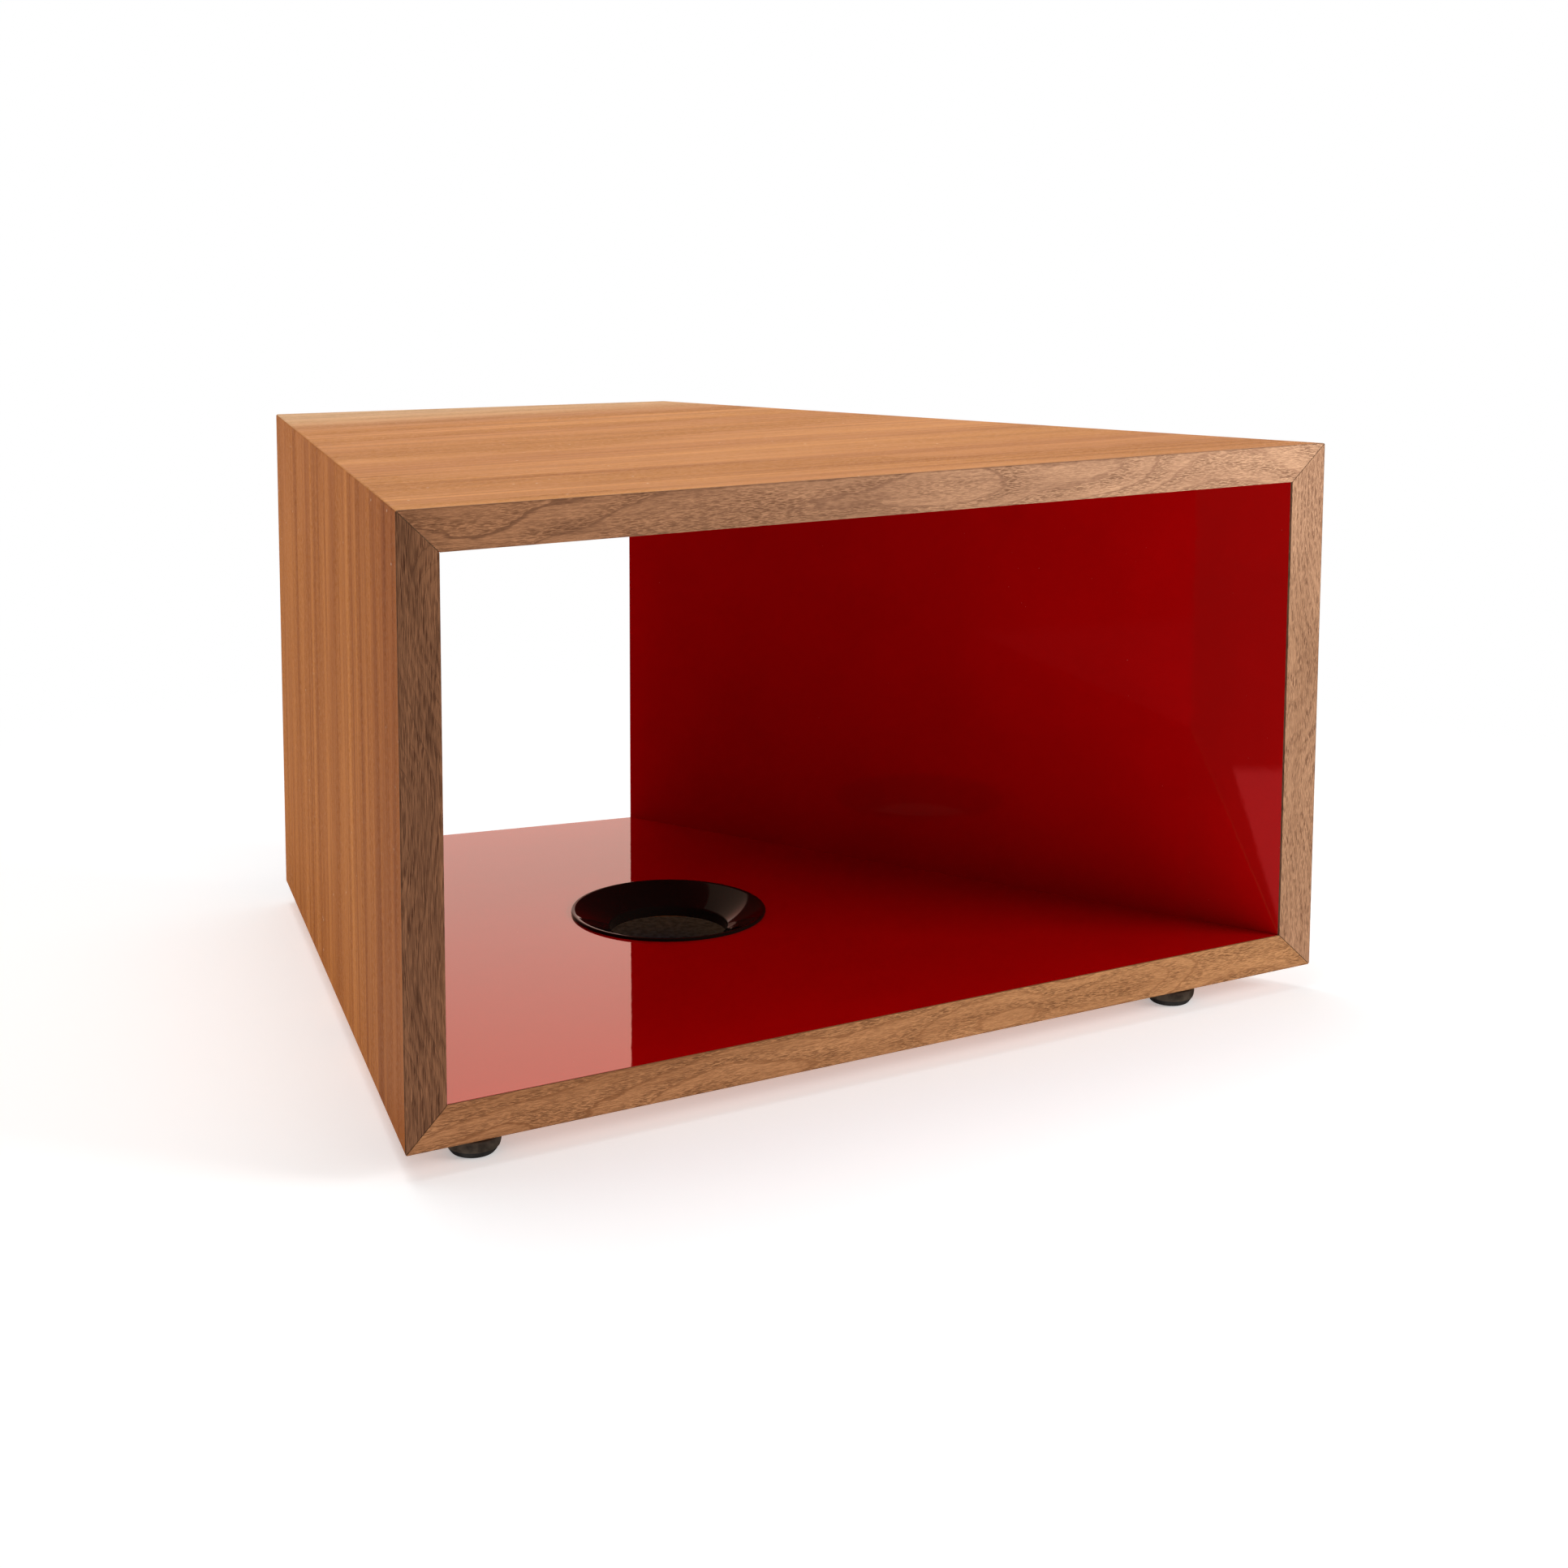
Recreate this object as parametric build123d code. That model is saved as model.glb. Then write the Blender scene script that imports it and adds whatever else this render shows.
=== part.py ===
"""Open-ended storage box: four mitred, veneered boards on levelling feet, with a cable port in the floor.

Millimetres. +X runs along the front edge to the right, +Y goes from the front to the back, +Z is up.
The origin lies on the ground, in the middle of the box that bounds the part.
"""
import math
import os

from build123d import *

# Plan of the carcass, measured on its outside
FRONT_WIDTH = 810.0
LEFT_WALL_LENGTH = 655.0
RIGHT_WALL_LENGTH = 655.0
FRONT_LEFT_ANGLE = 78.0
FRONT_RIGHT_ANGLE = 62.5

# Boards
CARCASS_HEIGHT = 440.0
BOARD_THICKNESS = 30.0
VENEER_THICKNESS = 0.8
LAMINATE_THICKNESS = 1.0
LIPPING_DEPTH = 1.5

# Biscuits across the mitres
BISCUIT_LENGTH = 56.0
BISCUIT_WIDTH = 23.0
BISCUIT_THICKNESS = 4.0
BISCUIT_CLEARANCE = 0.15
BISCUITS_PER_MITRE = 4
BISCUIT_END_DISTANCE = 85.0
BISCUIT_FROM_INNER_FACE = 9.5

# Cable port in the floor
PORT_RIM_DIAMETER = 167.0
PORT_RIM_HEIGHT = 2.5
PORT_LIP_WIDTH = 2.6
PORT_LIP_ROUND = 2.0
PORT_RIM_OVERLAP = 5.5
PORT_CONE_DEPTH = 12.0
PORT_BORE_DIAMETER = 101.0
PORT_BORE_LENGTH = 9.0
PORT_WALL = 3.0
PORT_THROAT_ROUND = 1.0
PORT_SKIRT_DEPTH = 16.0
PORT_CLEARANCE = 0.3

# Levelling feet
FOOT_DIAMETER = 40.0
FOOT_EDGE_INSET = 32.0
FRONT_LEFT_FOOT_DISTANCE = 63.0
FRONT_RIGHT_FOOT_DISTANCE = 123.0
BACK_LEFT_FOOT_DISTANCE = 63.0
BACK_RIGHT_FOOT_DISTANCE = 63.0
FOOT_TRAVEL = 10.0
FOOT_TAPER_HEIGHT = 10.5
FOOT_TAPER_ROUND = 14.5
PAD_THICKNESS = 5.0
PAD_STEP = 0.5
PAD_ROUND = 1.0
BASE_HEIGHT = 8.5
BASE_ROUND = 1.2
BASE_GAP = 0.3
COLLAR_HEIGHT = 4.5
COLLAR_ACROSS_FLATS = 17.0
STEM_DIAMETER = 10.0
STEM_KEPT_LENGTH = 10.0
NECK_DIAMETER = 8.0
HEAD_DIAMETER = 16.0
HEAD_THICKNESS = 3.0
HEAD_CLEARANCE = 0.3
TURNING_CLEARANCE = 0.05
STOP_CLEARANCE = 0.2

# Threaded inserts in the bottom board
INSERT_DIAMETER = 14.0
INSERT_LENGTH = 22.0
INSERT_FLANGE_DIAMETER = 24.0
INSERT_FLANGE_THICKNESS = 1.5
INSERT_CLEARANCE = 0.1
INSERT_HOLE_SPARE = 1.0

# Levels from the ground up, with the feet screwed right in
BASE_TOP = PAD_THICKNESS + BASE_HEIGHT
HEAD_BOTTOM = PAD_THICKNESS + HEAD_CLEARANCE
HEAD_TOP = HEAD_BOTTOM + HEAD_THICKNESS
COLLAR_BOTTOM = BASE_TOP + BASE_GAP
COLLAR_TOP = COLLAR_BOTTOM + COLLAR_HEIGHT
STEM_TOP = COLLAR_TOP + FOOT_TRAVEL + STEM_KEPT_LENGTH
FLANGE_BOTTOM = COLLAR_TOP + STOP_CLEARANCE
UNDERSIDE = FLANGE_BOTTOM + INSERT_FLANGE_THICKNESS
INSERT_TOP = UNDERSIDE + INSERT_LENGTH
INSERT_HOLE_TOP = max(INSERT_TOP, STEM_TOP) + INSERT_HOLE_SPARE
FLOOR = UNDERSIDE + BOARD_THICKNESS
TOP = UNDERSIDE + CARCASS_HEIGHT

# Sizes that follow from the ones above
CORE_INNER_DEPTH = BOARD_THICKNESS - LAMINATE_THICKNESS
PORT_CUTOUT_DIAMETER = PORT_RIM_DIAMETER - 2 * PORT_RIM_OVERLAP


def outline() -> dict[str, Vector]:
    """Outer plan corners, moved so that the middle of their bounding box is at the origin."""
    left = math.radians(FRONT_LEFT_ANGLE)
    right = math.radians(FRONT_RIGHT_ANGLE)
    corners = {
        "front_left": Vector(0, 0),
        "front_right": Vector(FRONT_WIDTH, 0),
        "back_right": Vector(
            FRONT_WIDTH - RIGHT_WALL_LENGTH * math.cos(right), RIGHT_WALL_LENGTH * math.sin(right)
        ),
        "back_left": Vector(LEFT_WALL_LENGTH * math.cos(left), LEFT_WALL_LENGTH * math.sin(left)),
    }
    across = [corner.X for corner in corners.values()]
    deep = [corner.Y for corner in corners.values()]
    middle = Vector((min(across) + max(across)) / 2, (min(deep) + max(deep)) / 2)
    return {name: corner - middle for name, corner in corners.items()}


CORNERS = outline()
SIDES = {
    "front": ("front_left", "front_right"),
    "right": ("front_right", "back_right"),
    "back": ("back_right", "back_left"),
    "left": ("back_left", "front_left"),
}


def side_line(side: str, inset: float) -> tuple[Vector, Vector]:
    """A point on one side of the plan and the side's direction, with the side moved inwards by inset."""
    start, end = (CORNERS[name] for name in SIDES[side])
    along = (end - start).normalized()
    inwards = Vector(-along.Y, along.X)
    return start + inwards * inset, along


def crossing(first: tuple[Vector, Vector], second: tuple[Vector, Vector]) -> Vector:
    """The plan point where two side lines cross."""
    (p, d), (q, e) = first, second
    gap = q - p
    return p + d * ((gap.X * e.Y - gap.Y * e.X) / (d.X * e.Y - d.Y * e.X))


def at_height(point: Vector, height: float) -> Vector:
    """A plan point lifted to a height."""
    return Vector(point.X, point.Y, height)


def board_face(board: str, depth: float, near: tuple, far: tuple) -> list[Vector]:
    """Four corners of a mitred board at a depth under its outer face, between two plan lines."""
    if board in ("left", "right"):
        wall = side_line(board, depth)
        ends = crossing(wall, near), crossing(wall, far)
        low, high = UNDERSIDE + depth, TOP - depth
        return [
            at_height(ends[0], low),
            at_height(ends[1], low),
            at_height(ends[1], high),
            at_height(ends[0], high),
        ]
    height = TOP - depth if board == "top" else UNDERSIDE + depth
    left, right = side_line("left", depth), side_line("right", depth)
    plan = crossing(left, near), crossing(right, near), crossing(right, far), crossing(left, far)
    return [at_height(point, height) for point in plan]


def polygon(points: list[Vector]) -> Face:
    """A flat face with the given corners."""
    return Face(Wire.make_polygon(points, close=True))


def mitred_slab(board: str, outer: float, inner: float, near: tuple, far: tuple) -> Solid:
    """One layer of a board, from an outer to an inner depth, with 45 degree mitres."""
    first = board_face(board, outer, near, far)
    second = board_face(board, inner, near, far)
    walls = []
    for i in range(len(first)):
        j = (i + 1) % len(first)
        walls.append(polygon([first[i], first[j], second[j], second[i]]))
    return Solid(Shell([polygon(first), polygon(second), *walls]))


def board_pieces(board: str) -> dict[str, Solid]:
    """Layers of one board, with a front lipping that covers them all and a back lipping on the core alone."""
    front, back = side_line("front", 0), side_line("back", 0)
    front_seam, back_seam = side_line("front", LIPPING_DEPTH), side_line("back", LIPPING_DEPTH)
    return {
        "core": mitred_slab(board, VENEER_THICKNESS, CORE_INNER_DEPTH, front_seam, back_seam),
        "veneer": mitred_slab(board, 0, VENEER_THICKNESS, front_seam, back),
        "laminate": mitred_slab(board, CORE_INNER_DEPTH, BOARD_THICKNESS, front_seam, back),
        "front_lipping": mitred_slab(board, 0, BOARD_THICKNESS, front, front_seam),
        "back_lipping": mitred_slab(board, VENEER_THICKNESS, CORE_INNER_DEPTH, back_seam, back),
    }


def biscuit(clearance: float) -> Part:
    """A lens-shaped biscuit: length along X, half its width to each side of the XZ plane."""
    half_length = BISCUIT_LENGTH / 2 + clearance
    half_width = BISCUIT_WIDTH / 2 + clearance
    tips = (-half_length, 0), (half_length, 0)
    bow = ThreePointArc(tips[0], (0, half_width), tips[1])
    counter_bow = ThreePointArc(tips[1], (0, -half_width), tips[0])
    lens = make_face([bow, counter_bow])
    return extrude(lens, BISCUIT_THICKNESS / 2 + clearance, both=True)


def mitre_planes(wall: str, board: str) -> list[Plane]:
    """Places of the biscuits in the mitre between a wall and the top or bottom board."""
    depth = BOARD_THICKNESS - BISCUIT_FROM_INNER_FACE
    line = side_line(wall, depth)
    start = crossing(line, side_line("front", 0))
    end = crossing(line, side_line("back", 0))
    along = (end - start).normalized()
    upwards = 1 if board == "top" else -1
    height = TOP - depth if board == "top" else UNDERSIDE + depth
    inwards = Vector(-line[1].Y, line[1].X)
    across_mitre = (inwards + Vector(0, 0, upwards)).normalized()
    run = (end - start).length - 2 * BISCUIT_END_DISTANCE
    step = run / (BISCUITS_PER_MITRE - 1)
    places = []
    for i in range(BISCUITS_PER_MITRE):
        centre = at_height(start + along * (BISCUIT_END_DISTANCE + i * step), height)
        places.append(Plane(centre, x_dir=along, z_dir=along.cross(across_mitre)))
    return places


def port_ring() -> Part:
    """Funnel ring: a rounded lip on the floor, a cone down to the bore, and a skirt in the cut-out."""
    rim = PORT_RIM_DIAMETER / 2
    bore = PORT_BORE_DIAMETER / 2
    crest = rim - PORT_LIP_WIDTH
    throat = -PORT_CONE_DEPTH
    bottom = throat - PORT_BORE_LENGTH
    skirt = PORT_CUTOUT_DIAMETER / 2 - PORT_CLEARANCE
    slope = (PORT_RIM_HEIGHT - throat) / (crest - bore)
    drop = PORT_WALL * math.sqrt(1 + slope**2)

    def under_cone(radius: float) -> tuple[float, float]:
        """A point of the cone's underside."""
        return radius, throat + (radius - bore) * slope - drop

    profile = Polyline(
        (rim, 0),
        (rim, PORT_RIM_HEIGHT),
        (crest, PORT_RIM_HEIGHT),
        (bore, throat),
        (bore, bottom),
        (bore + PORT_WALL, bottom),
        under_cone(bore + PORT_WALL),
        under_cone(skirt - PORT_WALL),
        (skirt - PORT_WALL, -PORT_SKIRT_DEPTH),
        (skirt, -PORT_SKIRT_DEPTH),
        (skirt, 0),
        close=True,
    )
    section = make_face(profile)
    lip = section.vertices().sort_by(Axis.Y)[-2:]
    section = fillet(lip, min(PORT_LIP_ROUND, 0.8 * PORT_RIM_HEIGHT, 0.4 * PORT_LIP_WIDTH))
    edge = section.vertices().sort_by_distance((bore, throat))[0]
    section = fillet(edge, PORT_THROAT_ROUND)
    return revolve(Plane.XZ * section, Axis.Z)


def foot_places() -> dict[str, Vector]:
    """Plan centres of the feet, set in from the open edges and from the ends of those edges."""
    distances = {
        "front_left": FRONT_LEFT_FOOT_DISTANCE,
        "front_right": FRONT_RIGHT_FOOT_DISTANCE,
        "back_left": BACK_LEFT_FOOT_DISTANCE,
        "back_right": BACK_RIGHT_FOOT_DISTANCE,
    }
    places = {}
    for name, distance in distances.items():
        edge = side_line(name.split("_")[0], 0)[1]
        inwards = Vector(-edge.Y, edge.X)
        starts_here = SIDES[name.split("_")[0]][0] == name
        towards_middle = edge if starts_here else -edge
        places[name] = CORNERS[name] + towards_middle * distance + inwards * FOOT_EDGE_INSET
    return places


def cylinder(diameter: float, bottom: float, top: float) -> Part:
    """An upright cylinder between two heights on the Z axis."""
    return Pos(0, 0, (bottom + top) / 2) * Cylinder(diameter / 2, top - bottom)


def foot_radius(height: float) -> float:
    """Radius of the foot's outside, which rounds inwards below the taper's height."""
    drop = max(FOOT_TAPER_HEIGHT - height, 0)
    return FOOT_DIAMETER / 2 - FOOT_TAPER_ROUND + math.sqrt(FOOT_TAPER_ROUND**2 - drop**2)


def foot_slice(bottom: float, top: float, step: float) -> Part:
    """The foot's rounded outside between two heights, set in by a step, as a solid."""
    arc_top = min(top, FOOT_TAPER_HEIGHT)
    heights = bottom, (bottom + arc_top) / 2, arc_top
    low, middle, high = ((foot_radius(height) - step, height) for height in heights)
    side = [ThreePointArc(low, middle, high)]
    if top > arc_top:
        side.append(Line(high, (high[0], top)))
    closing = Polyline((high[0], top), (0, top), (0, bottom), low)
    return revolve(Plane.XZ * make_face([*side, closing]), Axis.Z)


def foot_pad() -> Part:
    """Soft pad under the base, rounded where it meets the ground."""
    pad = foot_slice(0, PAD_THICKNESS, PAD_STEP)
    return fillet(pad.edges().group_by(Axis.Z)[0], PAD_ROUND)


def foot_base() -> Part:
    """Barrel of the foot, hollowed from below for the stem's head."""
    base = foot_slice(PAD_THICKNESS, BASE_TOP, 0)
    base = fillet(base.edges().group_by(Axis.Z)[-1], BASE_ROUND)
    base -= cylinder(NECK_DIAMETER + 2 * TURNING_CLEARANCE, PAD_THICKNESS, BASE_TOP)
    base -= cylinder(HEAD_DIAMETER + 2 * HEAD_CLEARANCE, PAD_THICKNESS, HEAD_TOP + HEAD_CLEARANCE)
    return base


def foot_stem() -> Part:
    """Screw of the foot: trapped head, neck, hexagon collar and threaded shank."""
    stem = cylinder(HEAD_DIAMETER, HEAD_BOTTOM, HEAD_TOP)
    stem += cylinder(NECK_DIAMETER, HEAD_TOP, COLLAR_BOTTOM)
    hexagon = RegularPolygon(COLLAR_ACROSS_FLATS / 2, 6, major_radius=False)
    stem += Pos(0, 0, COLLAR_BOTTOM) * extrude(hexagon, COLLAR_HEIGHT)
    stem += cylinder(STEM_DIAMETER, COLLAR_TOP, STEM_TOP)
    return stem


def insert() -> Part:
    """Flanged sleeve that takes the stem's thread."""
    sleeve = cylinder(INSERT_DIAMETER, UNDERSIDE, INSERT_TOP)
    sleeve += cylinder(INSERT_FLANGE_DIAMETER, FLANGE_BOTTOM, UNDERSIDE)
    return sleeve - cylinder(STEM_DIAMETER + 2 * TURNING_CLEARANCE, FLANGE_BOTTOM, INSERT_TOP)


def carcass() -> dict[str, Solid | Part | Compound]:
    """Every piece of the four boards, with the biscuits' slots, the port's cut-out and the inserts' holes."""
    pieces = {}
    for board in ("top", "bottom", "left", "right"):
        label = f"{board}_wall" if board in ("left", "right") else board
        for name, solid in board_pieces(board).items():
            pieces[f"{label}_{name}"] = solid

    biscuits = []
    for wall in ("left", "right"):
        for board in ("top", "bottom"):
            for place in mitre_planes(wall, board):
                biscuits.append(place * biscuit(0))
                slot = place * biscuit(BISCUIT_CLEARANCE)
                pieces[f"{wall}_wall_core"] -= slot
                pieces[f"{board}_core"] -= slot
    pieces["mitre_biscuits"] = Compound(biscuits)

    port_centre = sum(CORNERS.values(), Vector()) / len(CORNERS)
    pieces["cable_port_ring"] = Pos(at_height(port_centre, FLOOR)) * port_ring()
    cutout = Pos(port_centre) * cylinder(PORT_CUTOUT_DIAMETER, UNDERSIDE, FLOOR)
    for layer in ("core", "veneer", "laminate"):
        pieces[f"bottom_{layer}"] -= cutout

    inserts = []
    hole = cylinder(INSERT_DIAMETER + 2 * INSERT_CLEARANCE, UNDERSIDE, INSERT_HOLE_TOP)
    for place in foot_places().values():
        inserts.append(Pos(place) * insert())
        for layer in ("core", "veneer"):
            pieces[f"bottom_{layer}"] -= Pos(place) * hole
    pieces["threaded_inserts"] = Compound(inserts)
    return pieces


def feet() -> dict[str, Part]:
    """Pad, base and stem of each levelling foot."""
    pieces = {}
    for name, place in foot_places().items():
        pieces[f"foot_pad_{name}"] = Pos(place) * foot_pad()
        pieces[f"foot_base_{name}"] = Pos(place) * foot_base()
        pieces[f"foot_stem_{name}"] = Pos(place) * foot_stem()
    return pieces


os.makedirs("parts", exist_ok=True)
for node, shape in {**carcass(), **feet()}.items():
    export_step(shape, f"parts/{node}.step")
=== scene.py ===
"""Looks of an open-ended storage box: mitred walnut boards, red gloss lining, cable port and levelling feet.

Metres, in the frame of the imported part: +X runs along the front edge to the right, +Y goes to the back and
+Z is up.
"""
import logging
import math
from collections.abc import Callable
from dataclasses import dataclass, replace
from enum import Enum
from functools import partial, reduce

import bmesh
import bpy
from mathutils import Euler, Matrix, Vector


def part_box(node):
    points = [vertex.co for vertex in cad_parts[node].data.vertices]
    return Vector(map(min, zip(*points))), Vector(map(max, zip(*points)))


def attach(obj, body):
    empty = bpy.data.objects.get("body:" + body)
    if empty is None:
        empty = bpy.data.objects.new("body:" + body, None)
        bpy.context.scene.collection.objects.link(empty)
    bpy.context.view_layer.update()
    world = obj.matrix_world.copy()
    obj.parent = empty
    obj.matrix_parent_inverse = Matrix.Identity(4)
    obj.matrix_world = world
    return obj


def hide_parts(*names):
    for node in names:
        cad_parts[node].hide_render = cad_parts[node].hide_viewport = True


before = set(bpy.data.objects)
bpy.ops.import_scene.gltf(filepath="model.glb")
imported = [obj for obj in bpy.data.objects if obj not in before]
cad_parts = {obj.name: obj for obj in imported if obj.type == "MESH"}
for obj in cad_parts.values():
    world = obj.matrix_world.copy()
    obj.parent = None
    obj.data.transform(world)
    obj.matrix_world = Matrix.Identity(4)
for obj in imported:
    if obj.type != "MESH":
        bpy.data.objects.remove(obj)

LOG = logging.getLogger("storage_box")
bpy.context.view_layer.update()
PHOTO_SIDE = 1932
# Points of the CAD solids that are nearer than this are level with each other.
LEVEL = 1e-5
# Corners that are nearer than this are one, in a CAD solid and in a finished piece.
CAD_WELD = 1e-6
WELD = 1e-7
# Turned faces that meet at less than this angle are shaded as one curve.
CURVE_ANGLE = math.radians(28)

Colour = tuple[float, float, float]
Place = tuple[float, float, float]
Span = tuple[float, float]
Material = bpy.types.Material
BMesh = bmesh.types.BMesh
Socket = bpy.types.NodeSocket
Value = float | Socket


class Board(Enum):
    """The four boards of the carcass."""

    TOP = "top"
    BOTTOM = "bottom"
    LEFT = "left_wall"
    RIGHT = "right_wall"


class Layer(Enum):
    """The layers of a board that show."""

    VENEER = "veneer"
    LAMINATE = "laminate"
    FRONT_LIPPING = "front_lipping"
    BACK_LIPPING = "back_lipping"


class Graph:
    """Wires the nodes of one material or node group."""

    def __init__(self, tree: bpy.types.NodeTree) -> None:
        """Keep the tree that the nodes go into."""
        self.tree = tree

    def node(self, kind: str, inputs: dict | None = None, **settings: object) -> bpy.types.Node:
        """Add a node.

        Args:
            kind: Blender's name of the node type.
            inputs: Values or sockets by input name or number.
            settings: Properties of the node.

        Returns:
            The new node.
        """
        made = self.tree.nodes.new(kind)
        for name, value in settings.items():
            setattr(made, name, value)
        for name, value in (inputs or {}).items():
            self.feed(made.inputs[name], value)
        return made

    def feed(self, socket: Socket, value: object) -> None:
        """Link a socket to an input, or set the input's own value.

        Args:
            socket: The input.
            value: A socket, a number, a vector or a colour.
        """
        if isinstance(value, Socket):
            self.tree.links.new(value, socket)
        elif socket.type == "RGBA":
            socket.default_value = (*value, 1.0)
        else:
            socket.default_value = value

    def math(self, operation: str, first: Value, second: Value = 0.0) -> Socket:
        """One sum on numbers."""
        return self.node("ShaderNodeMath", {0: first, 1: second}, operation=operation).outputs[0]

    def times(self, *factors: Value) -> Socket:
        """The product of numbers."""
        return reduce(partial(self.math, "MULTIPLY"), factors)

    def vector(self, operation: str, first: object, second: object) -> Socket:
        """One sum on vectors that gives a vector."""
        return self.node("ShaderNodeVectorMath", {0: first, 1: second}, operation=operation).outputs[0]

    def length(self, vector: Socket) -> Socket:
        """The length of a vector."""
        return self.node("ShaderNodeVectorMath", {0: vector}, operation="LENGTH").outputs["Value"]

    def combine(self, x: Value, y: Value, z: Value) -> Socket:
        """A vector from its three parts."""
        return self.node("ShaderNodeCombineXYZ", {0: x, 1: y, 2: z}).outputs[0]

    def split(self, vector: Socket) -> list[Socket]:
        """The three parts of a vector."""
        return list(self.node("ShaderNodeSeparateXYZ", {0: vector}).outputs)

    def noise(
        self, vector: Socket, detail: float = 2.0, roughness: float = 0.5, scale: float = 1.0
    ) -> Socket:
        """Cloudy noise from 0 to 1, one lump for each unit of the vector divided by the scale."""
        inputs = {"Vector": vector, "Scale": scale, "Detail": detail, "Roughness": roughness}
        return self.node("ShaderNodeTexNoise", inputs).outputs["Fac"]

    def cells(self, vector: Socket, dimensions: str = "3D") -> bpy.types.Node:
        """Cells round scattered points, one for each unit of the vector."""
        inputs = {"Vector": vector, "Scale": 1.0}
        return self.node("ShaderNodeTexVoronoi", inputs, voronoi_dimensions=dimensions)

    def shader(self, kind: str, inputs: dict | None = None) -> Socket:
        """The output of a new shader node."""
        return self.node(f"ShaderNode{kind}", inputs).outputs[0]

    def remap(self, value: Value, low: Value, high: Value, start: Value = 0.0, end: Value = 1.0) -> Socket:
        """Smoothly take low to start and high to end, and hold the ends."""
        inputs = {"Value": value, 1: low, 2: high, 3: start, 4: end}
        return self.node("ShaderNodeMapRange", inputs, interpolation_type="SMOOTHSTEP").outputs["Result"]

    def mix(self, share: Value, first: object, second: object, blend: str = "MIX") -> Socket:
        """Blend a share of a second colour into the first."""
        inputs = {0: share, 6: first, 7: second}
        return self.node("ShaderNodeMix", inputs, data_type="RGBA", blend_type=blend).outputs[2]


@dataclass
class Effect:
    """A shader node group that several finishes share, built once."""

    name: str
    inputs: dict[str, str]
    outputs: dict[str, str]
    wire: Callable[[Graph, dict[str, Socket]], dict[str, Socket]]
    tree: bpy.types.NodeTree | None = None

    def built(self) -> bpy.types.NodeTree:
        """Build the group at its first use.

        Returns:
            The group's tree.
        """
        if self.tree is not None:
            return self.tree
        self.tree = bpy.data.node_groups.new(self.name, "ShaderNodeTree")
        for way, sockets in (("INPUT", self.inputs), ("OUTPUT", self.outputs)):
            for name, kind in sockets.items():
                self.tree.interface.new_socket(name, in_out=way, socket_type=f"NodeSocket{kind}")
        graph = Graph(self.tree)
        entry = graph.node("NodeGroupInput")
        results = self.wire(graph, {name: entry.outputs[name] for name in self.inputs})
        graph.node("NodeGroupOutput", results)
        return self.tree

    def place(self, graph: Graph, inputs: dict[str, object]) -> dict[str, Socket]:
        """Put the group into a material, and give its output sockets by name."""
        made = graph.node("ShaderNodeGroup", inputs, node_tree=self.built())
        return {name: made.outputs[name] for name in self.outputs}


# Waves to a metre, along and across: the sway of the fibres, the warp of the rings and their ragged edges.
SWAY_WAVES = (7.0, 26.0, 26.0)
WARP_WAVES = (4.5, 8.0, 8.0)
RAGGED_WAVES = (60.0, 300.0, 300.0)
# Spans of a growth ring over which its dark late wood comes and goes.
LATE_WOOD = ((0.84, 0.96), (1.0, 0.97))
# What the filling of a pore does to the colour of the wood.
PORE_TINT = (0.33, 0.27, 0.25)
# Sizes of the wood's figure: inputs of the node group and fields of the wood finish.
FIGURE_SIZES = (
    "contrast", "sway", "band_width", "streak_width", "streak_length", "ring_spacing", "ring_warp",
    "ring_strength", "pore_width", "pore_length", "pore_strength",
)


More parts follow.
